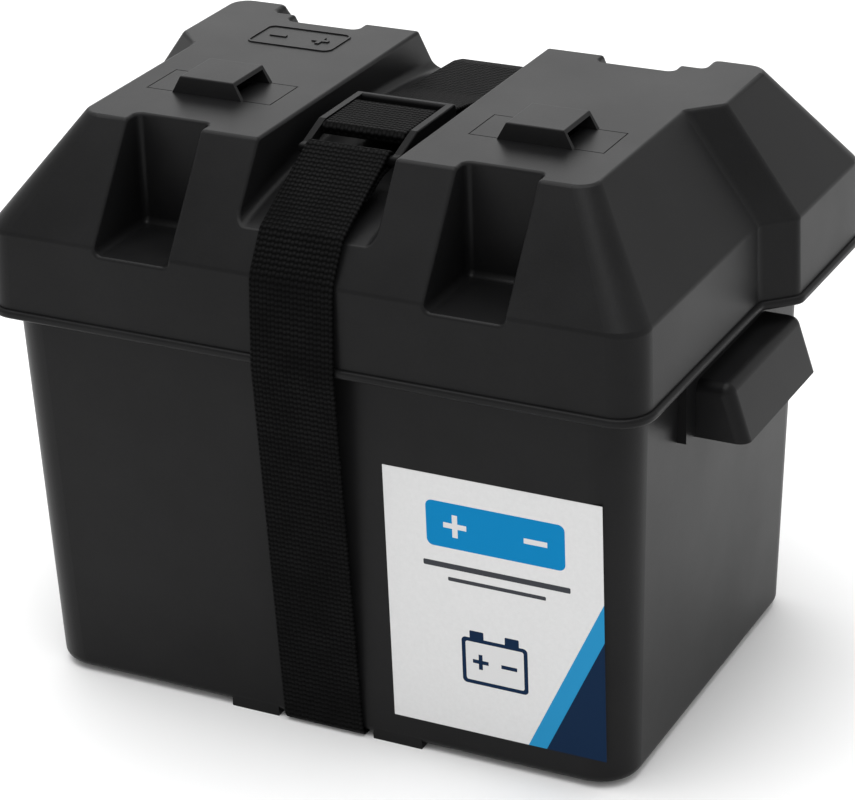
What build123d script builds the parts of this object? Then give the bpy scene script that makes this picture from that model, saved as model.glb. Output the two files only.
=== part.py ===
from math import sqrt
import os

from build123d import *

# Group 24 flooded deep cycle battery in a lidded, strapped battery box.
# Millimetres, +Z up. X runs along the long side, Y from the labelled front (-Y) to the back (+Y).
# The origin is the middle of the overall footprint, on the surface that the box stands on.
# Pieces are designed about the middle of the battery, and write() moves them to that origin.

os.makedirs("parts", exist_ok=True)

# ------------------------------------------------------------------ driving dimensions
# Battery
battery_length = 260.0
battery_depth = 173.0
case_height = 183.0
cover_height = 16.5
cell_count = 6
case_wall = 3.5
case_floor = 4.0
partition = 2.0
battery_corner = 6.0

# Tub
end_gap = 6.5
side_gap = 6.8
tub_wall = 2.5
tub_floor = 3.0
tub_height = 176.0
tub_lean = 5.1
tub_corner = 18.0
tub_edge = 4.0
flange_height = 3.0
runner_height = 2.0
runner_inner = 23.0
runner_width = 23.0

# Grips moulded on the tub's ends
grip_half_width = 41.0
grip_drop = 11.5
grip_height = 24.5
grip_top_reach = 18.0
grip_lip_reach = 26.0
grip_wall = 2.5
grip_round = 5.0
grip_pad_margin = 10.0
grip_pad_height = 32.0
grip_pad_thickness = 3.5

# Lid
lid_wall = 2.5
rim_fit = 0.4
lid_overhang = 6.4
lid_overlap = 4.5
bead_height = 4.0
bead_reach = 1.8
bead_round = 1.6
skirt_lean = 1.0
shoulder_rise = 3.4
hump_rise = 45.6
end_slope_run = 33.1
side_slope_run = 32.7
skirt_corner = 14.0
top_corner = 9.0
top_round = 2.5
shoulder_round = 3.4
ledge_height = 3.0
ledge_reach = 3.5
pocket_clearance = 1.3

# Cable corners at the back of the lid
corner_reach_x = 13.0
corner_reach_y = 11.7
corner_front = 34.5
corner_round = 5.0
corner_inner_round = 3.5
corner_valley_round = 2.0
corner_draft = 0.2

# Strap channel and finger pockets
channel_margin = 12.0
channel_round = 4.0
cut_round = 1.5
channel_front_rise = 15.3
channel_crown = 14.0
channel_back_drop = 6.0
pocket_width = 35.0
pocket_end_margin = 23.2
pocket_bite = 8.2
pocket_round = 3.0

# Vent hoods and moulded marks on the lid
hood_length = 33.4
hood_depth = 27.0
hood_height = 7.4
hood_end_slope = 4.0
hood_side_slope = 0.7
hood_wall = 1.5
hood_from_front = 49.0
vent_hole = 19.0
insert_length = 60.0
insert_depth = 25.0
insert_line = 0.5
insert_line_depth = 0.3
badge_length = 42.0
badge_depth = 24.0
badge_line = 1.0
badge_rise = 0.5
badge_from_back = 29.3

# Webbing and buckle
strap_width = 38.1
strap_thickness = 1.6
strap_gap = 0.4
buckle_rail = 3.4
buckle_side_play = 0.55
buckle_thickness = 5.2
buckle_length = 57.0
buckle_drop = 5.2
buckle_above_crown = 9.0
buckle_back = 1.0
buckle_round = 1.4
plate_thickness = 2.2
plate_length = 26.0
rear_slot = 9.0
front_slot = 12.0
back_bar = 4.0
front_bar = 4.0

# Label on the tub
label_width = 97.5
label_height = 119.5
label_thickness = 0.25
label_from_end = 7.5
label_from_bottom = 13.0

# Plates and separators
positive_per_cell = 5
positive_thickness = 2.0
negative_thickness = 1.6
separator_sheet = 0.5
separator_play = 0.1
plate_gap = 1.2
plate_height = 122.0
plate_side_gap = 4.0
mud_rest = 9.0
lug_width = 12.0
lug_height = 14.0
plate_strap_height = 8.0
plate_strap_depth = 16.0
plate_strap_end_gap = 1.0
connector_radius = 6.0
connector_play = 0.05

# Terminals
post_end_inset = 22.0
post_offset = 50.0
riser_radius = 6.5
post_base_radius = 9.75
post_top_radius = 8.9
post_height = 17.0
bushing_radius = 12.0
bushing_depth = 9.0
terminal_plate_height = 5.0
terminal_plate_width = 22.0
stud_offset = 22.0
stud_radius = 4.0
stud_height = 21.0
stud_head_radius = 7.0
stud_head_height = 4.0
washer_thickness = 2.0
washer_radius = 7.0
running_play = 0.05
nut_hub_radius = 7.5
nut_hub_height = 6.0
nut_wing_span = 30.0
nut_wing_height = 12.0
nut_wing_thickness = 2.6

# Vent caps
port_radius = 11.0
port_depth = 14.0
port_wall = 2.0
port_row = -20.0
cap_width = 34.0
cap_height = 9.0
cap_end_margin = 10.0
cap_gap = 6.0
cap_corner = 8.0
cap_wall = 2.0
plug_play = 1.0
plug_depth = 12.0
plug_bore = 6.0
plug_vent = 0.8
seal_bite = 0.8
seal_height = 2.4
baffle_thickness = 2.0

# ------------------------------------------------------------------ derived sizes
tub_z = runner_height
battery_z = tub_z + tub_floor
case_top = battery_z + case_height
cover_top = case_top + cover_height
rim_z = tub_z + tub_height
tub_x = battery_length / 2 + end_gap + tub_wall
tub_y = battery_depth / 2 + side_gap + tub_wall
lean_per_mm = tub_lean / tub_height

lid_z = rim_z - lid_overlap
lid_x = tub_x + tub_lean + lid_overhang
lid_y = tub_y + tub_lean + lid_overhang
shoulder_x = lid_x - skirt_lean
shoulder_y = lid_y - skirt_lean
pocket_floor = cover_top + pocket_clearance + lid_wall
shoulder_z = pocket_floor + shoulder_rise
top_z = shoulder_z + hump_rise
top_x = shoulder_x - end_slope_run
top_y = shoulder_y - side_slope_run
flange_x = lid_x - lid_wall - rim_fit
flange_y = lid_y - lid_wall - rim_fit

channel_half = strap_width / 2 + channel_margin
channel_front_z = shoulder_z + channel_front_rise
crown_z = channel_front_z + channel_crown
channel_back_z = crown_z - channel_back_drop
pocket_outer = top_x - pocket_end_margin
pocket_inner = pocket_outer - pocket_width
pocket_middle = (pocket_outer + pocket_inner) / 2
pocket_back = top_y - pocket_bite
corner_inner = pocket_outer + lid_wall + 1.5
hood_y = hood_from_front - top_y
badge_y = top_y - badge_from_back


def side_y(z):
    """Distance of the lid's sloping long side from the middle, at a height."""
    return shoulder_y - (z - shoulder_z) * side_slope_run / hump_rise


def tub_half(z):
    """Half length and half depth of the tub's outside at a height."""
    lean = (z - tub_z) * lean_per_mm
    return tub_x + lean, tub_y + lean


# ------------------------------------------------------------------ shared shapes
def tapered_block(low_z, low, high_z, high):
    """Solid between two centred rounded rectangles: (half x, half y, corner radius)."""
    with BuildPart() as block:
        for z, (half_x, half_y, corner) in ((low_z, low), (high_z, high)):
            with BuildSketch(Plane.XY.offset(z)):
                RectangleRounded(2 * half_x, 2 * half_y, corner)
        loft(ruled=True)
    return block.part


def lid_outline(half_x, half_y, corner, inset):
    """Closed plan line of the lid: a rounded rectangle with a cable corner at each back corner."""
    reach_x = half_x + corner_reach_x
    reach_y = half_y + corner_reach_y
    jog_end = corner_front + inset * (sqrt(2) - 1)
    jog_start = jog_end - corner_reach_x
    inner = corner_inner + inset + corner_draft * (lid_x - half_x)
    jog_round = corner_round - inset
    right = [
        (half_x, -half_y, corner),
        (half_x, jog_start, corner_round + inset),
        (reach_x, jog_end, jog_round),
        (reach_x, reach_y, corner),
        (inner, reach_y, corner_inner_round),
        (inner, half_y, corner_valley_round),
    ]
    left = [(-x, y, radius) for x, y, radius in reversed(right)]
    loop = right + left
    return FilletPolyline(*[(x, y) for x, y, _ in loop], radius=[r for _, _, r in loop], close=True)


def lid_form(inset):
    """The lid's outside (inset 0), or its hollow, which lies an even wall thickness inside it."""
    stretch = sqrt(1 + (end_slope_run / hump_rise) ** 2)
    drop = inset * (stretch - 1) * hump_rise / end_slope_run
    fall = hump_rise - inset
    high_x = shoulder_x - inset * stretch - fall * end_slope_run / hump_rise
    high_y = shoulder_y - inset * stretch - fall * side_slope_run / hump_rise
    levels = (
        (lid_z, lid_x - inset, lid_y - inset, skirt_corner - inset),
        (shoulder_z - drop, shoulder_x - inset, shoulder_y - inset, skirt_corner - inset),
        (top_z - inset, high_x, high_y, top_corner - inset),
    )
    with BuildPart() as form:
        for z, half_x, half_y, corner in levels:
            with BuildSketch(Plane.XY.offset(z)):
                with BuildLine():
                    lid_outline(half_x, half_y, corner, inset)
                make_face()
        loft(ruled=True)
        if inset == 0:
            fillet(form.faces().sort_by(Axis.Z)[-1].edges(), top_round)
            fillet(form.edges().filter_by_position(Axis.Z, shoulder_z - 0.1, shoulder_z + 0.1), shoulder_round)
    return form.part


def channel_cut(grow):
    """The strap channel across the lid, between the two humps, grown by a wall thickness."""
    with BuildPart() as cut:
        with BuildSketch(Plane.YZ.offset(-channel_half - grow)):
            with BuildLine():
                floor = ThreePointArc(
                    (-side_y(channel_front_z), channel_front_z - grow),
                    (0, crown_z - grow),
                    (side_y(channel_back_z), channel_back_z - grow),
                )
                left = Line(floor @ 0, (-2 * lid_y, channel_front_z - grow - lid_y / 4))
                right = Line(floor @ 1, (2 * lid_y, channel_back_z - grow - lid_y / 4))
                Polyline(left @ 1, (-2 * lid_y, 2 * top_z), (2 * lid_y, 2 * top_z), right @ 1)
            make_face()
        extrude(amount=2 * (channel_half + grow))
        bottom = cut.edges().filter_by(lambda e: e.geom_type == GeomType.CIRCLE)
        if grow == 0:
            fillet(bottom, channel_round)
    return cut.part


def pocket_cut(grow, side_x, side_y_sign):
    """One finger pocket in a long side of the lid, grown by a wall thickness."""
    depth = 2 * lid_y
    with BuildPart() as cut:
        with BuildSketch(Plane.XY.offset(pocket_floor - grow)):
            with Locations((side_x * pocket_middle, side_y_sign * (pocket_back - grow + depth / 2))):
                Rectangle(pocket_width + 2 * grow, depth)
        extrude(amount=top_z)
        if grow == 0:
            corners = cut.edges().filter_by(Axis.Z).sort_by(lambda e: abs(e.center().Y))[:2]
            floor_edges = cut.faces().sort_by(Axis.Z)[0].edges()
            fillet(corners + floor_edges, pocket_round)
    return cut.part


def write(piece, name):
    """Save one piece, moved so that the origin is the middle of the overall footprint."""
    placed = piece.moved(Location((0, -footprint_y, 0)))
    placed.label = name
    export_step(placed, f"parts/{name}.step")


# ------------------------------------------------------------------ tub
def build_tub():
    rim_half = tub_half(rim_z)
    floor_half = tub_half(battery_z)
    flange_corner = skirt_corner - lid_wall
    outside = tapered_block(
        tub_z, (tub_x, tub_y, tub_corner), rim_z, (rim_half[0], rim_half[1], tub_corner)
    )
    inside = tapered_block(
        battery_z,
        (floor_half[0] - tub_wall, floor_half[1] - tub_wall, tub_corner - tub_wall),
        rim_z,
        (rim_half[0] - tub_wall, rim_half[1] - tub_wall, tub_corner - tub_wall),
    )
    with BuildPart() as tub:
        add(outside)
        fillet(tub.faces().sort_by(Axis.Z)[0].edges(), tub_edge)
        with BuildSketch(Plane.XY.offset(rim_z - flange_height)):
            RectangleRounded(2 * flange_x, 2 * flange_y, flange_corner)
        extrude(amount=flange_height)
        with BuildSketch(Plane.XY) as runners:
            with Locations((-runner_inner - runner_width / 2, 0), (runner_inner + runner_width / 2, 0)):
                Rectangle(runner_width, 2 * tub_y)
        extrude(amount=runner_height + tub_edge)
        for side in (-1, 1):
            add(grip(side))
        add(inside, mode=Mode.SUBTRACT)
    return tub.part


def grip(side):
    """Hand grip on one end: a shelf with a lip that slopes outward, open underneath."""
    top = rim_z - grip_drop
    bottom = top - grip_height
    wall = tub_half(bottom)[0] - tub_wall / 2
    face = tub_half(top)[0]
    pad_low = rim_z - flange_height - grip_pad_height
    with BuildPart() as shelf:
        with BuildSketch(Plane.XZ.offset(-grip_half_width)):
            with BuildLine():
                Polyline(
                    (side * wall, top),
                    (side * (face + grip_top_reach), top),
                    (side * (face + grip_lip_reach), bottom),
                    (side * wall, bottom),
                    close=True,
                )
            make_face()
        extrude(amount=2 * grip_half_width)
        outer = shelf.edges().filter_by(lambda e: side * e.center().X > face + 1)
        rounded = outer.filter_by(lambda e: e.center().Z > bottom + 1)
        fillet(rounded, grip_round)
        with BuildSketch(Plane.XZ.offset(-grip_half_width + grip_wall)):
            with BuildLine():
                Polyline(
                    (side * (face + grip_pad_thickness), top - grip_wall),
                    (side * (face + grip_top_reach - grip_wall), top - grip_wall),
                    (side * (face + grip_lip_reach - grip_wall), bottom - 1),
                    (side * (face + grip_pad_thickness), bottom - 1),
                    close=True,
                )
            make_face()
        extrude(amount=2 * (grip_half_width - grip_wall), mode=Mode.SUBTRACT)
        with BuildSketch(Plane.XZ.offset(-grip_half_width - grip_pad_margin)):
            with BuildLine():
                Polyline(
                    (side * wall, rim_z - flange_height),
                    (side * (face + grip_pad_thickness), rim_z - flange_height),
                    (side * (face + grip_pad_thickness), pad_low),
                    (side * wall, pad_low),
                    close=True,
                )
            make_face()
        extrude(amount=2 * (grip_half_width + grip_pad_margin))
    return shelf.part


# ------------------------------------------------------------------ lid
def rim_bead():
    """Rounded bead that runs round the foot of the lid's skirt."""
    with BuildPart() as bead:
        with BuildSketch(Plane.XY.offset(lid_z)):
            for grow, mode in ((bead_reach, Mode.ADD), (-lid_wall / 2, Mode.SUBTRACT)):
                with BuildLine():
                    lid_outline(lid_x + grow, lid_y + grow, skirt_corner + grow, -grow)
                make_face(mode=mode)
        extrude(amount=bead_height)
        ends = bead.faces().filter_by(Axis.Z)
        fillet([edge for end in ends for edge in end.outer_wire().edges()], bead_round)
    return bead.part


def rest_ledge():
    """Ledge inside the skirt that sits on the tub's flange, left out at the cable corners."""
    low = rim_z
    with BuildPart() as ledge:
        with BuildSketch(Plane.XY.offset(low)):
            RectangleRounded(2 * (lid_x - lid_wall / 2), 2 * (lid_y - lid_wall / 2), skirt_corner - lid_wall / 2)
            inner = (lid_x - lid_wall - ledge_reach, lid_y - lid_wall - ledge_reach)
            RectangleRounded(2 * inner[0], 2 * inner[1], skirt_corner - lid_wall, mode=Mode.SUBTRACT)
            clear_front = corner_front - corner_reach_x
            with Locations((lid_x + corner_inner, lid_y + clear_front), (-lid_x - corner_inner, lid_y + clear_front)):
                Rectangle(2 * lid_x, 2 * lid_y, mode=Mode.SUBTRACT)
        extrude(amount=ledge_height)
    return ledge.part


def build_hood(side):
    """Vent hood that stands on a hump over its vent hole: a low roof, closed at -X and open at +X."""
    middle = (side * pocket_middle, hood_y)
    base = Plane.XY.offset(top_z)
    roof = Plane.XY.offset(top_z + hood_height)
    room = Plane.XY.offset(top_z + hood_height - hood_wall)
    with BuildPart() as shape:
        with BuildSketch(base):
            with Locations(middle):
                Rectangle(hood_length, hood_depth)
        with BuildSketch(roof):
            with Locations(middle):
                Rectangle(hood_length - 2 * hood_end_slope, hood_depth - 2 * hood_side_slope)
        loft(ruled=True)
        fillet(shape.faces().sort_by(Axis.Z)[-1].edges(), hood_side_slope)
        open_end = middle[0] + hood_length / 2
        closed_end = middle[0] - hood_length / 2 + hood_wall
        roof_shift = hood_end_slope * (1 - hood_wall / hood_height)
        with BuildSketch(Plane.XZ.offset(-hood_y - hood_depth / 2 + hood_wall + hood_side_slope)):
            with BuildLine():
                Polyline(
                    (closed_end, top_z),
                    (closed_end + roof_shift, top_z + hood_height - hood_wall),
                    (open_end + hood_length, top_z + hood_height - hood_wall),
                    (open_end + hood_length, top_z),
                    close=True,
                )
            make_face()
        extrude(amount=hood_depth - 2 * hood_wall - 2 * hood_side_slope, mode=Mode.SUBTRACT)
    return shape.part


def top_marks():
    """Raised plain badge on the left hump: a rounded frame round a plus and a minus."""
    with BuildPart() as marks:
        with BuildSketch(Plane.XY.offset(top_z)):
            with Locations((-pocket_middle, badge_y)):
                RectangleRounded(badge_length, badge_depth, 4)
                RectangleRounded(badge_length - 2 * badge_line, badge_depth - 2 * badge_line, 3, mode=Mode.SUBTRACT)
            with Locations((-pocket_middle - badge_length / 4, badge_y)):
                Rectangle(8, 2)
            with Locations((-pocket_middle + badge_length / 4, badge_y)):
                Rectangle(8, 2)
                Rectangle(2, 8)
        extrude(amount=badge_rise)
    return marks.part


def build_lid():
    vent_places = [(side * pocket_middle, hood_y) for side in (-1, 1)]
    with BuildPart() as hollow:
        add(lid_form(lid_wall))
        add(channel_cut(lid_wall), mode=Mode.SUBTRACT)
        for side_x in (-1, 1):
            for side_y_sign in (-1, 1):
                add(pocket_cut(lid_wall, side_x, side_y_sign), mode=Mode.SUBTRACT)
    with BuildPart() as lid:
        add(lid_form(0))
        add(channel_cut(0), mode=Mode.SUBTRACT)
        for side_x in (-1, 1):
            for side_y_sign in (-1, 1):
                add(pocket_cut(0, side_x, side_y_sign), mode=Mode.SUBTRACT)
        fillet(lid.edges().filter_by(is_cut_rim), cut_round)
        add(rim_bead())
        add(hollow.part, mode=Mode.SUBTRACT)
        add(rest_ledge())
        add(top_marks())
        with BuildSketch(Plane.XY.offset(top_z - 2 * lid_wall)):
            with Locations(*vent_places):
                Rectangle(vent_hole, vent_hole)
        extrude(amount=2 * lid_wall, mode=Mode.SUBTRACT)
        with BuildSketch(Plane.XY.offset(top_z - insert_line_depth)):
            for place in vent_places:
                with Locations(place):
                    Rectangle(insert_length, insert_depth)
                    Rectangle(insert_length - 2 * insert_line, insert_depth - 2 * insert_line, mode=Mode.SUBTRACT)
                    Rectangle(hood_length, hood_depth, mode=Mode.SUBTRACT)
        extrude(amount=insert_line_depth, mode=Mode.SUBTRACT)
    return lid.part


def is_cut_rim(edge):
    """Edge where the channel or a pocket breaks through the top or a sloping side."""
    middle = edge.center()
    on_wall = min(abs(abs(middle.X) - x) for x in (channel_half, pocket_inner, pocket_outer)) < 0.7
    on_back_wall = abs(abs(middle.Y) - pocket_back) < 1.2 and pocket_inner < abs(middle.X) < pocket_outer
    at_top = abs(middle.Z - top_z) < 0.4
    on_slope = shoulder_z + 6 < middle.Z < top_z - 0.4 and abs(abs(middle.Y) - side_y(middle.Z)) < 1.2
    floor_end = abs(middle.X) < channel_half and abs(abs(middle.Y) - side_y(middle.Z)) < 1.2
    return (at_top and (on_wall or on_back_wall)) or (on_slope and (on_wall or floor_end))


# ------------------------------------------------------------------ label on the tub
def build_label():
    front = tub_half(tub_z)[1]
    lean = sqrt(1 + lean_per_mm**2)
    down = Vector(0, -1 / lean, -lean_per_mm / lean)
    foot = Vector(tub_x - label_from_end - label_width / 2, -front, tub_z)
    wall = Plane(origin=foot, x_dir=(1, 0, 0), z_dir=down)
    with BuildPart() as label:
        with BuildSketch(wall):
            with Locations((0, label_from_bottom + label_height / 2)):
                Rectangle(label_width, label_height)
        extrude(amount=label_thickness)
    return label.part


# ------------------------------------------------------------------ webbing strap
def webbing(route, bends):
    """Flat band of webbing along a route in the YZ plane, given by the middle of its thickness."""
    points = [Vector(y, z) for y, z in route]
    runs = [(end - start).normalized() for start, end in zip(points, points[1:])]
    before = [runs[0]] + runs
    after = runs + [runs[-1]]
    turns = [a.cross(b).Z for a, b in zip(before, after)]
    radii = [0.0] + list(bends) + [0.0]
    outline = []
    for side in (1, -1):
        edge = []
        for point, first, second, turn, radius in zip(points, before, after, turns, radii):
            normal = (first + second).normalized().rotate(Axis.Z, 90)
            reach = half_strap / normal.dot(first.rotate(Axis.Z, 90))
            inward = side if turn > 0 else -side
            edge.append((point + normal * side * reach, radius and radius - inward * half_strap))
        outline += edge if side > 0 else edge[::-1]
    with BuildPart() as band:
        with BuildSketch(Plane.YZ.offset(-strap_width / 2)):
            with BuildLine():
                FilletPolyline(*[point for point, _ in outline], radius=[r for _, r in outline], close=True)
            make_face()
        extrude(amount=strap_width)
    return band.part


half_strap = strap_thickness / 2
bead_y = lid_y + bead_reach + strap_gap + half_strap
foot_y = tub_half(tub_z + tub_edge)[1] + strap_gap + half_strap
strap_bottom = tub_z - strap_gap / 2 - half_strap
strap_split = lid_z + bead_height / 2
tub_strap_top = strap_split - strap_gap / 2
footprint_y = (lid_y + corner_reach_y + bead_reach - bead_y - half_strap) / 2
lid_strap_foot = strap_split + strap_gap / 2
shoulder_bend_y = shoulder_y + strap_gap + half_strap
fold_rise = strap_gap + half_strap + 0.6


def build_tub_strap():
    """The strap's run from rim to rim under the tub, in the groove between the runners."""
    route = [
        (-bead_y, tub_strap_top),
        (-foot_y, strap_bottom),
        (foot_y, strap_bottom),
        (bead_y, tub_strap_top),
    ]
    return webbing(route, [tub_edge, tub_edge])


# The buckle's own heights, from its flat underside up
buckle_top = crown_z + buckle_above_crown + buckle_thickness
buckle_under = buckle_top - buckle_thickness
plate_low = buckle_under + (buckle_thickness - plate_thickness) / 2 - 0.3
plate_high = plate_low + plate_thickness
back_bar_face = -buckle_back - back_bar
plate_rear = back_bar_face - rear_slot
plate_front = plate_rear - plate_length
front_bar_face = plate_front - front_slot
front_bar_y = front_bar_face - front_bar / 2
front_bar_top = buckle_top - buckle_drop
front_bar_z = front_bar_top - front_bar / 2
buckle_front = front_bar_face - front_bar
over_plate = plate_high + half_strap + 0.1
under_plate = plate_low - half_strap - 0.1
under_bar = plate_low - half_strap - 0.25


def build_front_strap():
    """From the front rim over the shoulder and the channel's front edge, sewn round the front bar."""
    loop = front_bar / 2 + half_strap + 0.3
    with BuildPart() as strap:
        add(
            webbing(
                [
                    (-bead_y, lid_strap_foot),
                    (-shoulder_bend_y, shoulder_z + 0.6),
                    (-side_y(channel_front_z) - 1.2, channel_front_z + fold_rise),
                    (front_bar_y - 3, front_bar_z - loop - 0.4),
                    (front_bar_y, front_bar_z - loop),
                ],
                [12.0, 6.0, 4.0],
            )
        )
        with BuildSketch(Plane.YZ.offset(-strap_width / 2)):
            with Locations((front_bar_y, front_bar_z)):
                Circle(loop + half_strap)
                Circle(loop - half_strap, mode=Mode.SUBTRACT)
        extrude(amount=strap_width)
    return strap.part


def build_back_strap():
    """From the back rim up through the rear slot, over the buckle's plate and back as the tail."""
    rear = -(plate_rear + back_bar_face) / 2
    nose = plate_front - half_strap - 0.5
    route = [
        (bead_y, lid_strap_foot),
        (shoulder_bend_y, shoulder_z + 0.6),
        (side_y(channel_back_z) + 2.6, channel_back_z + 4.4),
        (side_y(channel_back_z) - 8.0, channel_back_z + 6.8),
        (36.0, crown_z + 3.0),
        (4.0, under_bar - 0.4),
        (-rear + 1.2, under_bar),
        (-rear - 2.0, over_plate),
        (nose, over_plate),
        (nose, under_plate),
        (plate_rear - 2.0, under_plate - 0.3),
        (-rear + 1.0, under_plate - 2.6),
        (8.0, under_bar - 4.2),
        (28.0, crown_z + 2.3),
    ]
    bends = [12.0, 6.0, 12.0, 60.0, 12.0, 2.0, 1.2, 1.9, 1.9, 3.0, 6.0, 20.0]
    return webbing(route, bends)


def build_buckle():
    """Three-bar slide buckle: side rails, front bar, middle plate and back bar in one moulding."""
    inner = strap_width / 2 + buckle_side_play
    step = plate_front + 3.0
    with BuildPart() as buckle:
        with BuildSketch(Plane.YZ.offset(-inner - buckle_rail)):
            with BuildLine():
                Polyline(
                    (-buckle_back, buckle_under),
                    (-buckle_back, buckle_top),
                    (step, buckle_top),
                    (front_bar_face, front_bar_top),
                    (buckle_front, front_bar_top),
                    (buckle_front, front_bar_top - front_bar),
                    (front_bar_face, front_bar_top - front_bar),
                    (step, buckle_under),
                    close=True,
                )
            make_face()
        extrude(amount=2 * (inner + buckle_rail))
        fillet(buckle.edges().filter_by(Axis.X), buckle_round)
        with BuildSketch(Plane.YZ.offset(-inner)):
            with Locations((0, buckle_top)):
                Rectangle(3 * buckle_length, 3 * buckle_length)
        extrude(amount=2 * inner, mode=Mode.SUBTRACT)
        with BuildSketch(Plane.YZ.offset(-inner - 1)):
            with Locations((-buckle_back - back_bar / 2, (buckle_top + plate_low) / 2)):
                RectangleRounded(back_bar, buckle_top - plate_low, buckle_round)
            with Locations(((plate_rear + plate_front) / 2, (plate_low + plate_high) / 2)):
                RectangleRounded(plate_length, plate_thickness, plate_thickness / 2 - 0.1)
            with Locations((front_bar_y, front_bar_z)):
                RectangleRounded(front_bar, front_bar, buckle_round)
        extrude(amount=2 * (inner + 1))
        fillet(buckle.edges().filter_by(lambda e: abs(abs(e.center().X) - inner - buckle_rail) < 0.01), 0.8)
    return buckle.part


# ------------------------------------------------------------------ battery case, cover and label
inner_length = battery_length - 2 * case_wall
inner_depth = battery_depth - 2 * case_wall
cell_length = (inner_length - (cell_count - 1) * partition) / cell_count
cell_pitch = cell_length + partition
cell_places = [(i - (cell_count - 1) / 2) * cell_pitch for i in range(cell_count)]
cell_floor = battery_z + case_floor
plate_z = cell_floor + mud_rest
plate_top = plate_z + plate_height
strap_z = plate_top + lug_height
strap_top = strap_z + plate_strap_height
connector_z = strap_z + plate_strap_height / 2
lug_offset = post_offset


def lug_side(cell, positive):
    """+1 or -1: which long side a cell's lugs of one polarity stand at. Neighbours are turned round."""
    turned = -1 if cell % 2 else 1
    return turned if positive else -turned


def build_case():
    with BuildPart() as case:
        with BuildSketch(Plane.XY.offset(battery_z)):
            RectangleRounded(battery_length, battery_depth, battery_corner)
        extrude(amount=case_height)
        with BuildSketch(Plane.XY.offset(cell_floor)):
            for x in cell_places:
                with Locations((x, 0)):
                    Rectangle(cell_length, inner_depth)
        extrude(amount=case_height, mode=Mode.SUBTRACT)
        with BuildSketch(Plane.XY.offset(cell_floor)):
            for x in cell_places:
                with Locations((x, -inner_depth / 4), (x, inner_depth / 4)):
                    Rectangle(cell_length, 3.0)
        extrude(amount=mud_rest)
        for cell in range(cell_count - 1):
            side = lug_side(cell, False)
            with BuildSketch(Plane.YZ.offset(cell_places[cell] + cell_length / 2)):
                with Locations((side * lug_offset, connector_z)):
                    Circle(connector_radius + connector_play)
            extrude(amount=partition, mode=Mode.SUBTRACT)
    return case.part


cap_length = (battery_length - cap_gap) / 2 - cap_end_margin
cap_middle = (cap_length + cap_gap) / 2
post_x = battery_length / 2 - post_end_inset
stud_y = stud_offset


def build_cover():
    """Heat-sealed cover with six filler ports and a well round each terminal bushing."""
    ports = [(x, port_row) for x in cell_places]
    posts = [(-post_x, post_offset), (post_x, post_offset)]
    studs = [(-post_x, stud_y), (post_x, stud_y)]
    skin = 4.0
    with BuildPart() as cover:
        with BuildSketch(Plane.XY.offset(case_top)):
            RectangleRounded(battery_length, battery_depth, battery_corner)
        extrude(amount=cover_height)
        fillet(cover.faces().sort_by(Axis.Z)[-1].edges(), 3.0)
        with BuildSketch(Plane.XY.offset(case_top)):
            RectangleRounded(inner_length, inner_depth, battery_corner - case_wall)
        extrude(amount=cover_height - skin, mode=Mode.SUBTRACT)
        with BuildSketch(Plane.XY.offset(cover_top - port_depth)):
            with Locations(*ports):
                Circle(port_radius + port_wall)
        extrude(amount=port_depth)
        with BuildSketch(Plane.XY.offset(cover_top - bushing_depth)):
            with Locations(*posts):
                Circle(bushing_radius + 2.5)
            with Locations(*studs):
                Circle(stud_head_radius + 4.0)
        extrude(amount=bushing_depth)
        with BuildSketch(Plane.XY.offset(case_top)):
            with Locations(*ports):
                Circle(port_radius)
            with Locations(*posts):
                Circle(bushing_radius)
        extrude(amount=2 * cover_height, mode=Mode.SUBTRACT)
        with BuildSketch(Plane.XY.offset(cover_top - stud_head_height)):
            with Locations(*studs):
                RegularPolygon(stud_head_radius, 6)
        extrude(amount=2 * stud_head_height, mode=Mode.SUBTRACT)
        with BuildSketch(Plane.XY.offset(cover_top)):
            mark_y = -battery_depth / 2 + 18.0
            with Locations((-post_x, mark_y)):
                Rectangle(12, 3)
                Rectangle(3, 12)
            with Locations((post_x, mark_y)):
                Rectangle(12, 3)
        extrude(amount=0.8)
    return cover.part


def build_battery_label():
    face = -battery_depth / 2
    with BuildPart() as label:
        with BuildSketch(Plane.XZ.offset(-face)):
            with Locations((0, battery_z + case_height / 2)):
                RectangleRounded(battery_length - 50, case_height - 60, 5)
        extrude(amount=label_thickness)
    return label.part


# ------------------------------------------------------------------ plates, separators and plate straps
element_count = 2 * positive_per_cell + 1
envelope = positive_thickness + 2 * (separator_sheet + separator_play)
element_pitch = (envelope + negative_thickness) / 2 + plate_gap
element_places = [(i - (element_count - 1) / 2) * element_pitch for i in range(element_count)]
plate_depth = inner_depth - 2 * plate_side_gap


def build_plates(positive):
    """All plates of one polarity, each with its lug, as separate solids."""
    thickness = positive_thickness if positive else negative_thickness
    with BuildPart() as plates:
        for cell, x in enumerate(cell_places):
            side = lug_side(cell, positive)
            for place in element_places[1 if positive else 0 :: 2]:
                with BuildSketch(Plane.YZ.offset(x + place - thickness / 2)):
                    with Locations((0, plate_z + plate_height / 2)):
                        Rectangle(plate_depth, plate_height)
                    with Locations((side * lug_offset, plate_top + lug_height / 2)):
                        Rectangle(lug_width, lug_height)
                extrude(amount=thickness)
    return plates.part


def build_separators():
    """Sleeve round each positive plate, standing on the same rests as the plates."""
    inner = positive_thickness + 2 * separator_play
    with BuildPart() as separators:
        with BuildSketch(Plane.XY.offset(plate_z)):
            for x in cell_places:
                for place in element_places[1::2]:
                    with Locations((x + place, 0)):
                        Rectangle(envelope, plate_depth + 2)
                        Rectangle(inner, plate_depth + 2 * separator_play, mode=Mode.SUBTRACT)
        extrude(amount=plate_height + 1)
    return separators.part


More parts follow.
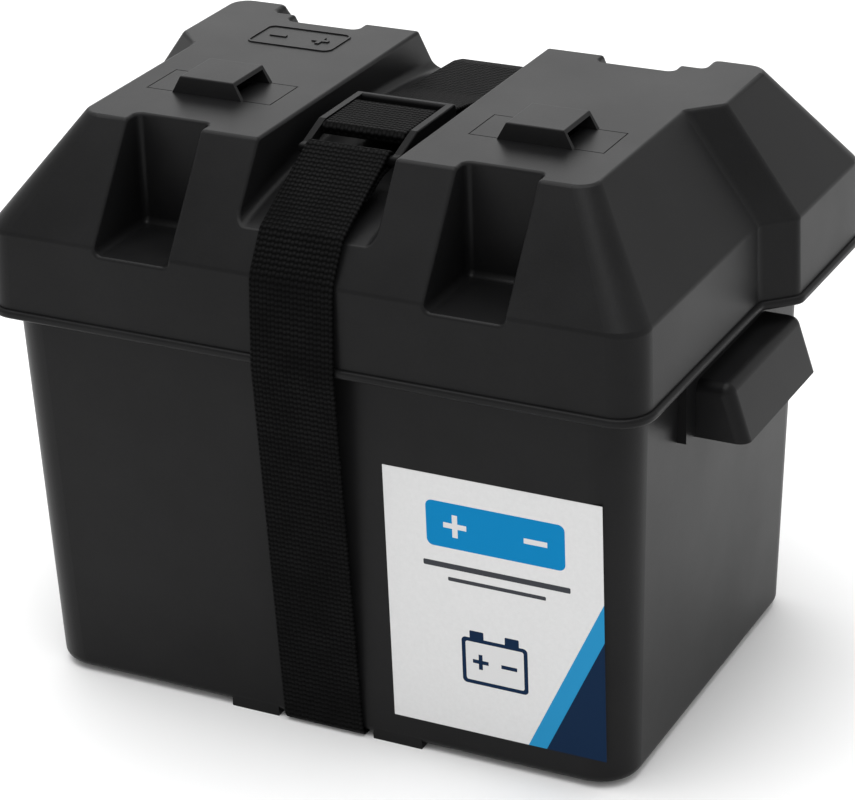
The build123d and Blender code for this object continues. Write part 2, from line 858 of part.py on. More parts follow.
def build_plate_straps(positive):
    """One lead strap per cell, cast across the lugs of one polarity."""
    with BuildPart() as straps:
        with BuildSketch(Plane.XY.offset(strap_z)):
            for cell, x in enumerate(cell_places):
                with Locations((x, lug_side(cell, positive) * lug_offset)):
                    Rectangle(cell_length - 2 * plate_strap_end_gap, plate_strap_depth)
        extrude(amount=plate_strap_height)
    return straps.part


def build_connectors():
    """Lead slugs through the partitions, joining each cell's negative strap to the next positive."""
    reach = partition + 2 * plate_strap_end_gap
    with BuildPart() as connectors:
        for cell in range(cell_count - 1):
            middle = cell_places[cell] + cell_pitch / 2
            with BuildSketch(Plane.YZ.offset(middle - reach / 2)):
                with Locations((lug_side(cell, False) * lug_offset, connector_z)):
                    Circle(connector_radius)
            extrude(amount=reach)
    return connectors.part


# ------------------------------------------------------------------ terminals
def build_bushings():
    with BuildPart() as bushings:
        with BuildSketch(Plane.XY.offset(cover_top - bushing_depth)):
            with Locations((-post_x, post_offset), (post_x, post_offset)):
                Circle(bushing_radius)
                Circle(riser_radius + connector_play, mode=Mode.SUBTRACT)
        extrude(amount=bushing_depth)
    return bushings.part


def build_terminal(side):
    """Lead terminal: riser from the plate strap, flat plate for the stud and a tapered post."""
    plate_long = post_offset - stud_y + terminal_plate_width
    with BuildPart() as terminal:
        with BuildSketch(Plane.XY.offset(strap_top)):
            with Locations((side * post_x, post_offset)):
                Circle(riser_radius)
        extrude(amount=cover_top - strap_top)
        with BuildSketch(Plane.XY.offset(cover_top)):
            with Locations((side * post_x, (post_offset + stud_y) / 2)):
                RectangleRounded(terminal_plate_width, plate_long, terminal_plate_width / 2 - 1)
            with Locations((side * post_x, stud_y)):
                Circle(stud_radius + connector_play, mode=Mode.SUBTRACT)
        extrude(amount=terminal_plate_height)
        with BuildSketch(Plane.XZ.offset(-post_offset)):
            with BuildLine():
                foot = cover_top + terminal_plate_height - 0.5
                head = foot + 0.5 + post_height
                Polyline(
                    (side * post_x, foot),
                    (side * post_x + post_base_radius, foot),
                    (side * post_x + post_top_radius, head),
                    (side * post_x, head),
                    close=True,
                )
            make_face()
        revolve(axis=Axis((side * post_x, post_offset, 0), (0, 0, 1)))
    return terminal.part


def build_stud(side):
    """Carriage stud: hexagon head let into the cover, plain shank up through the terminal."""
    with BuildPart() as stud:
        with BuildSketch(Plane.XY.offset(cover_top - stud_head_height)):
            with Locations((side * post_x, stud_y)):
                RegularPolygon(stud_head_radius - 0.1, 6)
        extrude(amount=stud_head_height)
        with BuildSketch(Plane.XY.offset(cover_top)):
            with Locations((side * post_x, stud_y)):
                Circle(stud_radius)
        extrude(amount=terminal_plate_height + stud_height)
        chamfer(stud.faces().sort_by(Axis.Z)[-1].edges(), 0.8)
    return stud.part


washer_z = cover_top + terminal_plate_height
nut_z = washer_z + washer_thickness


def build_washers():
    with BuildPart() as washers:
        with BuildSketch(Plane.XY.offset(washer_z)):
            with Locations((-post_x, stud_y), (post_x, stud_y)):
                Circle(washer_radius)
                Circle(stud_radius + connector_play, mode=Mode.SUBTRACT)
        extrude(amount=washer_thickness)
    return washers.part


def build_wing_nut(side):
    """Hub with two wings that rise outward."""
    reach = nut_wing_span / 2
    with BuildPart() as nut:
        with BuildSketch(Plane.XY.offset(nut_z)):
            with Locations((side * post_x, stud_y)):
                Circle(nut_hub_radius)
        extrude(amount=nut_hub_height)
        with BuildSketch(Plane.XZ.offset(-stud_y - nut_wing_thickness / 2)):
            with BuildLine():
                Polyline(
                    (side * post_x - reach, nut_z + nut_wing_height),
                    (side * post_x - nut_hub_radius + 1, nut_z + 1),
                    (side * post_x + nut_hub_radius - 1, nut_z + 1),
                    (side * post_x + reach, nut_z + nut_wing_height),
                    (side * post_x + reach - 5, nut_z + nut_wing_height + 1),
                    (side * post_x + stud_radius + 1.5, nut_z + nut_hub_height),
                    (side * post_x - stud_radius - 1.5, nut_z + nut_hub_height),
                    (side * post_x - reach + 5, nut_z + nut_wing_height + 1),
                    close=True,
                )
            make_face()
        extrude(amount=nut_wing_thickness)
        with BuildSketch(Plane.XY.offset(nut_z)):
            with Locations((side * post_x, stud_y)):
                Circle(stud_radius + running_play)
        extrude(amount=nut_wing_height + 2, mode=Mode.SUBTRACT)
    return nut.part


# ------------------------------------------------------------------ vent caps
plug_radius = port_radius - plug_play
side_places = {side: [x for x in cell_places if x * side > 0] for side in (-1, 1)}


def build_cap(side):
    """Cap over three filler ports, with a hollow plug for each."""
    places = [(x, port_row) for x in side_places[side]]
    with BuildPart() as cap:
        with BuildSketch(Plane.XY.offset(cover_top)):
            with Locations((side * cap_middle, port_row)):
                RectangleRounded(cap_length, cap_width, cap_corner)
        extrude(amount=cap_height)
        fillet(cap.faces().sort_by(Axis.Z)[-1].edges(), 2.5)
        with BuildSketch(Plane.XY.offset(cover_top - plug_depth)):
            with Locations(*places):
                Circle(plug_radius)
        extrude(amount=plug_depth)
        with BuildSketch(Plane.XY.offset(cover_top - plug_depth)):
            with Locations(*places):
                Circle(plug_bore)
        extrude(amount=plug_depth + cap_height - cap_wall, mode=Mode.SUBTRACT)
        with BuildSketch(Plane.XY.offset(cover_top)):
            with Locations(*places):
                Circle(plug_vent)
        extrude(amount=2 * cap_height, mode=Mode.SUBTRACT)
        with BuildSketch(Plane.XY.offset(cover_top - plug_depth / 2 - seal_height / 2)):
            with Locations(*places):
                Circle(plug_radius + 1)
                Circle(plug_radius - seal_bite, mode=Mode.SUBTRACT)
        extrude(amount=seal_height, mode=Mode.SUBTRACT)
        slot = (cap_length - 2 * cap_corner, 2.0)
        with BuildSketch(Plane.XY.offset(cover_top + cap_height - 0.8)):
            with Locations((side * cap_middle, port_row - 5), (side * cap_middle, port_row + 5)):
                Rectangle(*slot)
        extrude(amount=0.8, mode=Mode.SUBTRACT)
    return cap.part


def build_seals(side):
    """Ring in the groove of each plug."""
    with BuildPart() as seals:
        with BuildSketch(Plane.XY.offset(cover_top - plug_depth / 2 - seal_height / 2 + 0.1)):
            with Locations(*[(x, port_row) for x in side_places[side]]):
                Circle(port_radius - running_play)
                Circle(plug_radius - seal_bite + 0.05, mode=Mode.SUBTRACT)
        extrude(amount=seal_height - 0.2)
    return seals.part


def build_baffles(side):
    """Porous disc in the bore of each plug, which keeps acid spray in and lets gas out."""
    with BuildPart() as baffles:
        with BuildSketch(Plane.XY.offset(cover_top - plug_depth / 2)):
            with Locations(*[(x, port_row) for x in side_places[side]]):
                Circle(plug_bore)
        extrude(amount=baffle_thickness)
    return baffles.part


# ------------------------------------------------------------------ write every piece
write(build_tub(), "tub")
write(build_lid(), "lid")
write(build_label(), "tub_label")
write(build_tub_strap(), "strap_around_tub")
write(build_front_strap(), "strap_front")
write(build_back_strap(), "strap_back")
write(build_buckle(), "strap_buckle")
write(build_case(), "battery_case")
write(build_cover(), "battery_cover")
write(build_battery_label(), "battery_label")
write(build_plates(True), "positive_plates")
write(build_plates(False), "negative_plates")
write(build_separators(), "separators")
write(build_plate_straps(True), "positive_plate_straps")
write(build_plate_straps(False), "negative_plate_straps")
write(build_connectors(), "cell_connectors")
write(build_bushings(), "terminal_bushings")
write(build_washers(), "spring_washers")
for polarity, side in (("positive", -1), ("negative", 1)):
    write(build_terminal(side), f"{polarity}_terminal")
    write(build_stud(side), f"{polarity}_stud")
    write(build_wing_nut(side), f"{polarity}_wing_nut")
for hand, side in (("left", -1), ("right", 1)):
    write(build_cap(side), f"{hand}_vent_cap")
    write(build_seals(side), f"{hand}_vent_seals")
    write(build_baffles(side), f"{hand}_vent_baffles")
    write(build_hood(side), f"{hand}_vent_hood")
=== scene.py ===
import math

import bpy
import numpy as np
from mathutils import Matrix, Vector


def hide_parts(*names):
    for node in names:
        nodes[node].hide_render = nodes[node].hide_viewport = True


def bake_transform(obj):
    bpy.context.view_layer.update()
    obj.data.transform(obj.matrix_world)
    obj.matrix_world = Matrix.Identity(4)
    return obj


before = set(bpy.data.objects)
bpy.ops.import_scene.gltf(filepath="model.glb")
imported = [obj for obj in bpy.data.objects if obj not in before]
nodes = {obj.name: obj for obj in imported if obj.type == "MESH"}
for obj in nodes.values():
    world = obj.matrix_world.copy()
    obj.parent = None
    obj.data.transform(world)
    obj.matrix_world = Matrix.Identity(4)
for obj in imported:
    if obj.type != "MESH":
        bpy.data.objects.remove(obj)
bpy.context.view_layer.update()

MM = 0.001
# Distance from the middle of the battery to the row's origin, along Y.
SHIFT = -4.85 * MM


# ------------------------------------------------------------------ camera
def place_camera():
    """Camera fitted to the object's edges, with a small roll and offset."""
    azimuth, elevation, roll = (math.radians(a) for a in (26.97, 25.03, -1.71))
    distance, offset_right, offset_down = 1.3869, 0.00452, 0.00633
    back = Vector(
        (
            math.sin(azimuth) * math.cos(elevation),
            -math.cos(azimuth) * math.cos(elevation),
            math.sin(elevation),
        )
    )
    level = Vector((math.cos(azimuth), math.sin(azimuth), 0))
    upright = back.cross(level)
    right = math.cos(roll) * level + math.sin(roll) * upright
    up = math.cos(roll) * upright - math.sin(roll) * level
    target = Vector((0, SHIFT, 0.121))
    data = bpy.data.cameras.new("camera")
    data.lens = 133.15
    data.sensor_width = 36
    data.clip_start = 0.05
    data.clip_end = 50
    camera = bpy.data.objects.new("camera", data)
    bpy.context.scene.collection.objects.link(camera)
    camera.matrix_world = Matrix.LocRotScale(
        target + right * offset_right - up * offset_down + back * distance,
        Matrix((right, up, back)).transposed(),
        None,
    )
    bpy.context.scene.camera = camera


place_camera()


# ------------------------------------------------------------------ node helpers
class Shader:
    """A material's node tree, built by small steps that each return an output socket."""

    def __init__(self, name):
        self.material = bpy.data.materials.new(name)
        self.material.use_nodes = True
        self.tree = self.material.node_tree
        self.surface = self.tree.nodes["Principled BSDF"]
        self.coordinates = self.tree.nodes.new("ShaderNodeTexCoord")

    def set(self, name, value):
        """Feed one input of the surface with a socket or a constant."""
        socket = self.surface.inputs[name]
        if isinstance(value, bpy.types.NodeSocket):
            self.tree.links.new(value, socket)
        else:
            socket.default_value = value

    def feed(self, node, key, value):
        if isinstance(value, bpy.types.NodeSocket):
            self.tree.links.new(value, node.inputs[key])
        else:
            node.inputs[key].default_value = value

    def math(self, operation, a, b=0.0):
        node = self.tree.nodes.new("ShaderNodeMath")
        node.operation = operation
        for i, value in enumerate((a, b)):
            self.feed(node, i, value)
        return node.outputs[0]

    def scaled(self, scale, source="Object"):
        """Coordinates in metres, stretched by a factor for each axis."""
        node = self.tree.nodes.new("ShaderNodeMapping")
        self.tree.links.new(self.coordinates.outputs[source], node.inputs["Vector"])
        node.inputs["Scale"].default_value = scale if isinstance(scale, tuple) else (scale,) * 3
        return node.outputs[0]

    def noise(self, vector, detail=3.0, roughness=0.5):
        node = self.tree.nodes.new("ShaderNodeTexNoise")
        self.feed(node, "Vector", vector)
        self.feed(node, "Scale", 1.0)
        self.feed(node, "Detail", detail)
        self.feed(node, "Roughness", roughness)
        return node.outputs["Fac"]

    def cells(self, vector):
        node = self.tree.nodes.new("ShaderNodeTexVoronoi")
        self.feed(node, "Vector", vector)
        self.feed(node, "Scale", 1.0)
        return node.outputs["Distance"]

    def spread(self, value, from_low, from_high, to_low, to_high):
        node = self.tree.nodes.new("ShaderNodeMapRange")
        for key, number in (
            ("Value", value),
            ("From Min", from_low),
            ("From Max", from_high),
            ("To Min", to_low),
            ("To Max", to_high),
        ):
            self.feed(node, key, number)
        return node.outputs[0]

    def mix(self, factor, a, b):
        node = self.tree.nodes.new("ShaderNodeMix")
        node.data_type = "RGBA"
        self.feed(node, 0, factor)
        self.feed(node, 6, a)
        self.feed(node, 7, b)
        return node.outputs[2]

    def bump(self, height, distance, strength=1.0, under=None):
        node = self.tree.nodes.new("ShaderNodeBump")
        self.feed(node, "Height", height)
        self.feed(node, "Distance", distance)
        self.feed(node, "Strength", strength)
        if under is not None:
            self.tree.links.new(under, node.inputs["Normal"])
        return node.outputs[0]


def grey(value):
    return (value, value, value, 1.0)


def moulded(name, dark, light, rough, grain=1400.0, grain_depth=0.00006, wave_depth=0.0004, specular=0.5):
    """Moulded plastic: fine tooling grain, slow waviness, faint cloudiness and a few scuffs."""
    s = Shader(name)
    cloud = s.noise(s.scaled(14.0), detail=4.0, roughness=0.6)
    speck = s.noise(s.scaled(900.0), detail=2.0)
    tone = s.math("ADD", s.math("MULTIPLY", cloud, 0.75), s.math("MULTIPLY", speck, 0.25))
    s.set("Base Color", s.mix(s.spread(tone, 0.35, 0.65, 0.0, 1.0), dark, light))
    scuff = s.noise(s.scaled((240.0, 180.0, 210.0)), detail=6.0, roughness=0.7)
    worn = s.spread(scuff, 0.60, 0.80, 0.0, 0.05)
    s.set("Roughness", s.math("ADD", s.spread(cloud, 0.3, 0.7, rough - 0.03, rough + 0.04), worn))
    s.set("Specular IOR Level", specular)
    wave = s.bump(s.noise(s.scaled(22.0), detail=1.0), wave_depth, 0.5)
    s.set("Normal", s.bump(s.noise(s.scaled(grain), detail=3.0, roughness=0.6), grain_depth, 0.6, wave))
    return s.material


def paint(node, material):
    """Give one CAD node its only material."""
    mesh = nodes[node].data
    mesh.materials.clear()
    mesh.materials.append(material)


# ------------------------------------------------------------------ plastics
box_plastic = moulded("box_plastic", (0.0048, 0.0048, 0.0050, 1), (0.0085, 0.0085, 0.0088, 1), 0.36, specular=0.12)
case_plastic = moulded("case_plastic", (0.050, 0.052, 0.056, 1), (0.075, 0.077, 0.082, 1), 0.46)
cap_plastic = moulded("cap_plastic", (0.020, 0.020, 0.021, 1), (0.032, 0.032, 0.034, 1), 0.34)
buckle_plastic = moulded(
    "buckle_plastic",
    (0.0030, 0.0030, 0.0031, 1),
    (0.0055, 0.0055, 0.0057, 1),
    0.30,
    grain_depth=0.00003,
    wave_depth=0.0002,
    specular=0.05,
)
for node in ("tub", "lid", "left_vent_hood", "right_vent_hood"):
    paint(node, box_plastic)
for node in ("battery_case", "battery_cover"):
    paint(node, case_plastic)
for node in ("left_vent_cap", "right_vent_cap"):
    paint(node, cap_plastic)
paint("strap_buckle", buckle_plastic)


# ------------------------------------------------------------------ metals, plates, seals
def cast_lead():
    """Grey lead with a dull skin, small pits and paler rubbed places."""
    s = Shader("cast_lead")
    skin = s.noise(s.scaled(120.0), detail=5.0, roughness=0.65)
    pits = s.cells(s.scaled(650.0))
    s.set("Base Color", s.mix(s.spread(skin, 0.35, 0.65, 0.0, 1.0), (0.13, 0.135, 0.145, 1), (0.34, 0.35, 0.37, 1)))
    s.set("Metallic", 0.85)
    s.set("Roughness", s.spread(skin, 0.3, 0.7, 0.60, 0.38))
    dents = s.bump(skin, 0.0004, 0.5)
    s.set("Normal", s.bump(s.spread(pits, 0.0, 0.3, 0.0, 1.0), 0.0001, 0.5, dents))
    return s.material


def plated_steel():
    """Zinc-plated steel with fine turning lines and slight clouding."""
    s = Shader("plated_steel")
    cloud = s.noise(s.scaled(260.0), detail=4.0)
    lines = s.noise(s.scaled((300.0, 300.0, 5200.0)), detail=2.0)
    s.set("Base Color", s.mix(s.spread(cloud, 0.35, 0.65, 0.0, 1.0), (0.52, 0.52, 0.49, 1), (0.70, 0.70, 0.68, 1)))
    s.set("Metallic", 1.0)
    s.set("Roughness", s.math("ADD", s.spread(cloud, 0.3, 0.7, 0.22, 0.34), s.math("MULTIPLY", lines, 0.08)))
    s.set("Normal", s.bump(lines, 0.00004, 0.4))
    return s.material


def pasted_plate(name, dark, light):
    """Lead oxide paste pressed on a grid, whose bars show through as faint ribs."""
    s = Shader(name)
    place = s.tree.nodes.new("ShaderNodeSeparateXYZ")
    s.tree.links.new(s.coordinates.outputs["Object"], place.inputs[0])
    bars = []
    for axis, pitch in (("Y", 0.012), ("Z", 0.007)):
        phase = s.math("MULTIPLY", place.outputs[axis], math.pi / pitch)
        bars.append(s.math("POWER", s.math("ABSOLUTE", s.math("SINE", phase)), 12.0))
    grid = s.math("MAXIMUM", bars[0], bars[1])
    crumbs = s.noise(s.scaled(700.0), detail=5.0, roughness=0.7)
    tone = s.math("ADD", s.math("MULTIPLY", crumbs, 0.8), s.math("MULTIPLY", grid, 0.3))
    s.set("Base Color", s.mix(s.spread(tone, 0.3, 0.8, 0.0, 1.0), dark, light))
    s.set("Roughness", s.spread(crumbs, 0.3, 0.7, 0.75, 0.92))
    s.set("Normal", s.bump(grid, 0.0003, 0.5, s.bump(crumbs, 0.0003, 0.5)))
    return s.material


def separator_felt(name, dark, light):
    """Porous sheet with fine upright ribs."""
    s = Shader(name)
    place = s.tree.nodes.new("ShaderNodeSeparateXYZ")
    s.tree.links.new(s.coordinates.outputs["Object"], place.inputs[0])
    ribs = s.math("ABSOLUTE", s.math("SINE", s.math("MULTIPLY", place.outputs["Y"], math.pi / 0.003)))
    fibre = s.noise(s.scaled((1500.0, 1500.0, 300.0)), detail=4.0, roughness=0.7)
    s.set("Base Color", s.mix(s.spread(fibre, 0.3, 0.7, 0.0, 1.0), dark, light))
    s.set("Roughness", 0.88)
    s.set("Normal", s.bump(ribs, 0.0002, 0.5, s.bump(fibre, 0.0001, 0.5)))
    return s.material


def seal_rubber():
    s = Shader("seal_rubber")
    dust = s.noise(s.scaled(600.0), detail=5.0, roughness=0.7)
    s.set("Base Color", s.mix(s.spread(dust, 0.4, 0.75, 0.0, 1.0), (0.012, 0.012, 0.012, 1), (0.045, 0.044, 0.043, 1)))
    s.set("Roughness", s.spread(dust, 0.3, 0.7, 0.55, 0.72))
    s.set("Normal", s.bump(dust, 0.00008, 0.5))
    return s.material


lead = cast_lead()
steel = plated_steel()
rubber = seal_rubber()
for node in (
    "positive_plate_straps",
    "negative_plate_straps",
    "cell_connectors",
    "terminal_bushings",
    "positive_terminal",
    "negative_terminal",
):
    paint(node, lead)
for node in ("positive_stud", "negative_stud", "spring_washers", "positive_wing_nut", "negative_wing_nut"):
    paint(node, steel)
for node in ("left_vent_seals", "right_vent_seals"):
    paint(node, rubber)
paint("positive_plates", pasted_plate("positive_paste", (0.040, 0.022, 0.014, 1), (0.085, 0.050, 0.034, 1)))
paint("negative_plates", pasted_plate("negative_paste", (0.10, 0.105, 0.11, 1), (0.20, 0.205, 0.21, 1)))
felt = separator_felt("separator_felt", (0.50, 0.48, 0.41, 1), (0.66, 0.64, 0.57, 1))
for node in ("separators", "left_vent_baffles", "right_vent_baffles"):
    paint(node, felt)


# ------------------------------------------------------------------ printed sheets
class Print(Shader):
    """A printed sheet: flat shapes drawn in millimetres over two of the row's axes."""

    def __init__(self, name, paper):
        super().__init__(name)
        place = self.tree.nodes.new("ShaderNodeSeparateXYZ")
        self.tree.links.new(self.coordinates.outputs["Object"], place.inputs[0])
        self.x = self.math("MULTIPLY", place.outputs["X"], 1000.0)
        self.z = self.math("MULTIPLY", place.outputs["Z"], 1000.0)
        fibre = self.noise(self.scaled(500.0), detail=5.0, roughness=0.7)
        self.colour = self.mix(self.spread(fibre, 0.3, 0.7, 0.0, 1.0), grey(paper), grey(paper * 1.06))
        self.set("Roughness", self.spread(fibre, 0.3, 0.7, 0.42, 0.52))
        self.set("Specular IOR Level", 0.04)
        self.set("Normal", self.bump(self.noise(self.scaled(35.0), detail=2.0), 0.0005, 0.5))

    def rectangle(self, middle, half, corner=0.0):
        """Mask that is 1 inside a rectangle with rounded corners."""
        x = self.math("MAXIMUM", self.math("SUBTRACT", self.away(self.x, middle[0]), half[0] - corner), 0.0)
        z = self.math("MAXIMUM", self.math("SUBTRACT", self.away(self.z, middle[1]), half[1] - corner), 0.0)
        far = self.math("SQRT", self.math("ADD", self.math("MULTIPLY", x, x), self.math("MULTIPLY", z, z)))
        return self.math("LESS_THAN", far, max(corner, 0.001))

    def away(self, value, middle):
        return self.math("ABSOLUTE", self.math("SUBTRACT", value, middle))

    def beyond(self, normal, distance):
        """Mask of the half plane past a slanted line."""
        along = self.math("ADD", self.math("MULTIPLY", self.x, normal[0]), self.math("MULTIPLY", self.z, normal[1]))
        return self.math("GREATER_THAN", along, distance)

    def ink(self, mask, colour):
        self.colour = self.mix(mask, self.colour, colour)

    def done(self):
        self.set("Base Color", self.colour)
        return self.material


SKY = (0.003, 0.195, 0.44, 1)
BLUE = (0.020, 0.240, 0.47, 1)
NAVY = (0.0052, 0.0185, 0.050, 1)
INK = (0.045, 0.048, 0.055, 1)
PAPER = 0.63


def box_label():
    """Generic sheet: a blue bar with plus and minus, two plain lines, a battery sign and a slanted band."""
    p = Print("box_label", PAPER)
    p.ink(p.rectangle((84.0, 112.0), (31.0, 10.5), 3.0), SKY)
    for middle, half in (((66.0, 112.0), (5.2, 1.2)), ((66.0, 112.0), (1.2, 5.2)), ((102.0, 112.0), (5.2, 1.2))):
        p.ink(p.rectangle(middle, half), grey(PAPER))
    p.ink(p.rectangle((84.0, 93.0), (33.0, 1.3), 0.6), INK)
    p.ink(p.rectangle((84.0, 87.0), (22.0, 0.9), 0.5), INK)
    p.ink(p.rectangle((82.0, 50.0), (15.0, 11.0), 2.0), NAVY)
    for x in (74.0, 90.0):
        p.ink(p.rectangle((x, 62.5), (3.2, 2.0), 0.5), NAVY)
    p.ink(p.rectangle((82.0, 50.0), (13.2, 9.2), 1.0), grey(PAPER))
    for middle, half in (((75.5, 50.0), (3.6, 0.9)), ((75.5, 50.0), (0.9, 3.6)), ((88.5, 50.0), (3.6, 0.9))):
        p.ink(p.rectangle(middle, half), NAVY)
    slant = (0.904, -0.427)
    p.ink(p.beyond(slant, 80.7), BLUE)
    p.ink(p.beyond(slant, 88.2), NAVY)
    return p.done()


def battery_label():
    """Generic sheet: a navy field with a blue line, plain lines below it, and a plus and a minus."""
    p = Print("battery_label", PAPER)
    p.ink(p.rectangle((0.0, 120.0), (101.0, 33.0), 3.0), NAVY)
    p.ink(p.rectangle((0.0, 120.0), (101.0, 2.0)), BLUE)
    for x in (-80.0, 80.0):
        p.ink(p.rectangle((x, 60.0), (9.0, 1.8)), INK)
    p.ink(p.rectangle((-80.0, 60.0), (1.8, 9.0)), INK)
    for z in (74.0, 66.0, 58.0, 50.0):
        p.ink(p.rectangle((0.0, z), (48.0, 1.2), 0.6), INK)
    return p.done()


paint("tub_label", box_label())
paint("battery_label", battery_label())


# ------------------------------------------------------------------ webbing strap
STRAP_WIDTH = 38.1
STRAP_THICKNESS = 1.6
STRAP_STEP = 1.5
ARC_STEP = 1.0
ARC_TURN = math.radians(12)
SELVEDGE = 0.9


def rounded_path(points, radii):
    """Points every millimetre or so along a polyline in the YZ plane, with its corners rounded."""
    path = [Vector(points[0])]
    for before, corner, after, radius in zip(points, points[1:], points[2:], radii):
        corner = Vector(corner)
        incoming = (corner - Vector(before)).normalized()
        outgoing = (Vector(after) - corner).normalized()
        turn = math.atan2(incoming.x * outgoing.y - incoming.y * outgoing.x, incoming.dot(outgoing))
        reach = radius * math.tan(abs(turn) / 2)
        start = corner - incoming * reach
        side = math.copysign(1.0, turn)
        centre = start + Vector((-incoming.y, incoming.x)) * side * radius
        count = max(2, math.ceil(abs(turn) * radius / ARC_STEP), math.ceil(abs(turn) / ARC_TURN))
        for i in range(count + 1):
            angle = turn * i / count
            arm = start - centre
            path.append(
                centre
                + Vector(
                    (
                        arm.x * math.cos(angle) - arm.y * math.sin(angle),
                        arm.x * math.sin(angle) + arm.y * math.cos(angle),
                    )
                )
            )
    path.append(Vector(points[-1]))
    filled = [path[0]]
    for point in path[1:]:
        gap = (point - filled[-1]).length
        if gap < 1e-6:
            continue
        count = max(1, math.ceil(gap / STRAP_STEP))
        last = filled[-1]
        filled += [last.lerp(point, (i + 1) / count) for i in range(count)]
    return filled


BAR = Vector((-54.0, 248.0))
BAR_LOOP = 3.1
LOOP_END = math.radians(116.5)


def strap_route():
    """One length of webbing: sewn end, front bar, front, under the tub, back, buckle plate, tail."""
    loop_points = [
        BAR + BAR_LOOP * Vector((math.cos(a), math.sin(a)))
        for a in np.linspace(math.radians(-90), LOOP_END, 22)
    ]
    sewn = rounded_path([(-76.0, 237.6), (-62.0, 243.9), tuple(loop_points[0])], [20.0])
    body = rounded_path(
        [
            tuple(loop_points[-1]),
            (-97.0, 229.3),
            (-107.8, 212.4),
            (-110.3, 174.0),
            (-97.1, 1.0),
            (97.1, 1.0),
            (110.3, 174.0),
            (107.8, 212.4),
            (92.2, 239.4),
            (81.6, 241.8),
            (36.0, 244.0),
            (4.0, 249.75),
            (-8.3, 250.15),
            (-11.5, 254.3),
            (-41.3, 254.3),
            (-41.3, 250.3),
            (-16.0, 250.0),
            (-8.5, 247.7),
            (8.0, 245.9),
            (28.0, 243.3),
        ],
        [6.0, 12.0, 30.0, 4.0, 4.0, 30.0, 12.0, 6.0, 12.0, 60.0, 12.0, 2.0, 1.2, 1.9, 1.9, 3.0, 6.0, 20.0],
    )
    return sewn[:-1] + loop_points + body[1:]


def strap_profile():
    """Closed section of the webbing, (across, up) in mm, with rounded selvedges."""
    half = STRAP_WIDTH / 2
    thick = STRAP_THICKNESS / 2
    flat = half - SELVEDGE
    across = np.linspace(-flat, flat, 25)
    edge = np.linspace(0.3, math.pi - 0.3, 5)
    right = [(flat + SELVEDGE * math.sin(a), thick * math.cos(a)) for a in edge]
    left = [(-x, -z) for x, z in right]
    return [(x, thick) for x in across] + right + [(x, -thick) for x in across[::-1]] + left


def make_strap():
    """Sweep the webbing's section along its route, and keep each point's place in the weave."""
    route = strap_route()
    profile = strap_profile()
    count = len(profile)
    vertices = []
    weave = []
    length = 0.0
    for i, point in enumerate(route):
        before = route[max(i - 1, 0)]
        after = route[min(i + 1, len(route) - 1)]
        along = (after - before).normalized()
        normal = Vector((along.y, -along.x))
        if i:
            length += (point - route[i - 1]).length
        for across, up in profile:
            place = point + normal * -up
            vertices.append((across * MM, place.x * MM + SHIFT, place.y * MM))
            weave.append((across, length, up))
    faces = []
    for i in range(len(route) - 1):
        for j in range(count):
            k = (j + 1) % count
            faces.append((i * count + j, i * count + k, (i + 1) * count + k, (i + 1) * count + j))
    last = (len(route) - 1) * count
    faces.append(tuple(range(count))[::-1])
    faces.append(tuple(last + j for j in range(count)))
    mesh = bpy.data.meshes.new("strap")
    mesh.from_pydata(vertices, [], faces)
    mesh.polygons.foreach_set("use_smooth", [True] * len(faces))
    attribute = mesh.attributes.new("weave", "FLOAT_VECTOR", "POINT")
    attribute.data.foreach_set("vector", np.array(weave, np.float32).ravel())
    mesh.update()
    strap = bpy.data.objects.new("webbing_strap", mesh)
    bpy.context.scene.collection.objects.link(strap)
    return strap, length


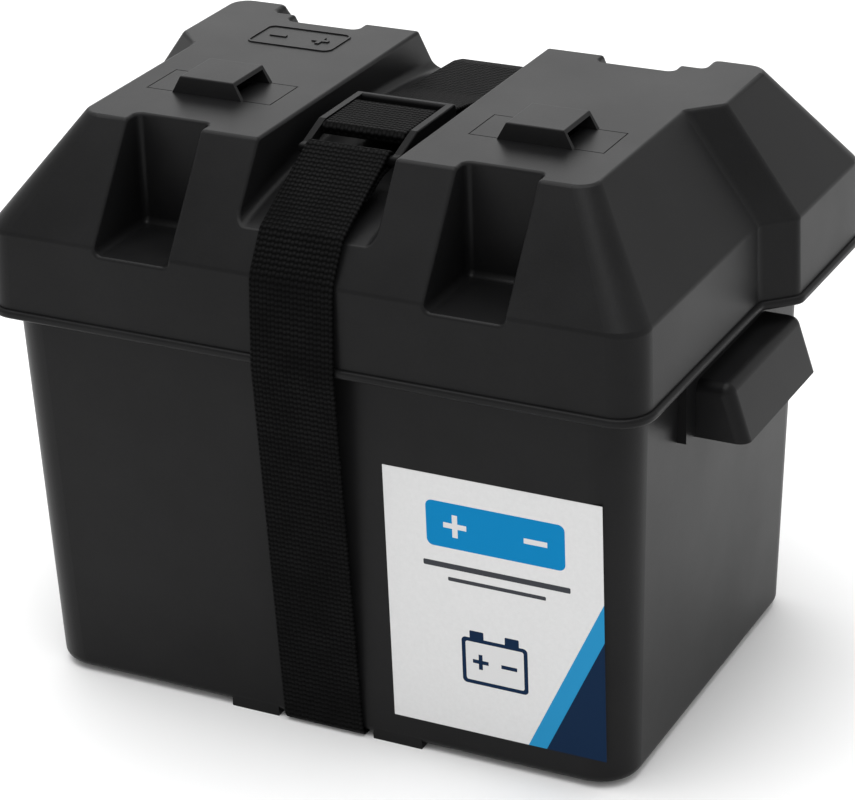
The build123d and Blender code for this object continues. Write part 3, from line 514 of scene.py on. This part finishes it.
def webbing():
    """Black webbing: rows of knuckles across the strap, each row a slight zigzag from rib to rib."""
    s = Shader("webbing")
    source = s.tree.nodes.new("ShaderNodeAttribute")
    source.attribute_name = "weave"
    place = s.tree.nodes.new("ShaderNodeSeparateXYZ")
    s.tree.links.new(source.outputs["Vector"], place.inputs[0])
    across, along = place.outputs["X"], place.outputs["Y"]
    rib, pick = 1.75, 2.3
    column = s.math("DIVIDE", across, rib)
    ridge = s.math("ABSOLUTE", s.math("SINE", s.math("MULTIPLY", column, math.pi)))
    step = s.math("MULTIPLY", s.math("PINGPONG", s.math("FLOOR", column), 1.0), 0.9)
    wave = s.math("SINE", s.math("ADD", s.math("MULTIPLY", along, 2 * math.pi / pick), step))
    knuckle = s.spread(wave, -1.0, 1.0, 0.0, 1.0)
    height = s.math("ADD", s.math("MULTIPLY", s.math("SQRT", ridge), 0.40), s.math("MULTIPLY", knuckle, 0.60))
    fuzz = s.noise(s.scaled(2500.0), detail=4.0, roughness=0.7)
    wear = s.noise(s.scaled(70.0), detail=3.0)
    # Painted shade and highlight: the gaps between the knuckles are painted near black as shade, and the knuckle
    # crowns are painted lighter as highlight.
    painted_weave_light = s.math("MULTIPLY", s.spread(height, 0.42, 0.98, 0.0, 1.0), s.spread(fuzz, 0.2, 0.8, 0.6, 1.2))
    thread = s.mix(s.spread(wear, 0.35, 0.7, 0.0, 1.0), (0.0036, 0.0036, 0.0038, 1), (0.0075, 0.0075, 0.0078, 1))
    # Painted shade in the weave's gaps, painted highlight on its crowns, over the thread's own worn colour.
    s.set("Base Color", s.mix(painted_weave_light, (0.0003, 0.0003, 0.0003, 1), thread))
    s.set("Roughness", s.spread(fuzz, 0.3, 0.7, 0.52, 0.70))
    s.set("Specular IOR Level", 0.04)
    s.set("Normal", s.bump(height, 0.0007, 1.0, s.bump(fuzz, 0.00005, 0.4)))
    return s.material


strap, strap_length = make_strap()
strap.data.materials.append(webbing())
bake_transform(strap)
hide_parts("strap_around_tub", "strap_front", "strap_back")


# ------------------------------------------------------------------ studio
def make_stage():
    """Pale floor and an even white surround."""
    floor_mesh = bpy.data.meshes.new("floor")
    half = 3.0
    floor_mesh.from_pydata(
        [(-half, -half, 0), (half, -half, 0), (half, half, 0), (-half, half, 0)], [], [(0, 1, 2, 3)]
    )
    floor = bpy.data.objects.new("floor", floor_mesh)
    bpy.context.scene.collection.objects.link(floor)
    s = Shader("floor")
    tone = s.noise(s.scaled(3.0), detail=2.0)
    s.set("Base Color", s.mix(tone, grey(0.90), grey(0.93)))
    s.set("Roughness", 0.85)
    s.set("Specular IOR Level", 0.1)
    floor_mesh.materials.append(s.material)
    world = bpy.data.worlds.new("studio")
    bpy.context.scene.world = world
    world.use_nodes = True
    background = world.node_tree.nodes["Background"]
    background.inputs["Color"].default_value = (1, 1, 1, 1)
    background.inputs["Strength"].default_value = 0.8
    bpy.context.scene.view_settings.view_transform = "Standard"


def area_light(name, position, aim, size, power, size_y=None):
    data = bpy.data.lights.new(name, "AREA")
    data.energy = power
    data.size = size
    if size_y is not None:
        data.shape = "RECTANGLE"
        data.size_y = size_y
    light = bpy.data.objects.new(name, data)
    light.location = position
    light.rotation_mode = "QUATERNION"
    light.rotation_quaternion = (Vector(aim) - Vector(position)).to_track_quat("-Z", "Y")
    bpy.context.scene.collection.objects.link(light)


make_stage()
area_light("overhead", (-0.2, -0.1, 1.9), (-0.1, -0.1, 0.0), 2.0, 34, 2.0)
area_light("behind", (-1.0, 2.1, 1.35), (0, 0, 0.22), 2.2, 9, 1.3)
area_light("right", (1.9, 0.3, 0.9), (0.1, 0, 0.12), 1.4, 1, 1.2)
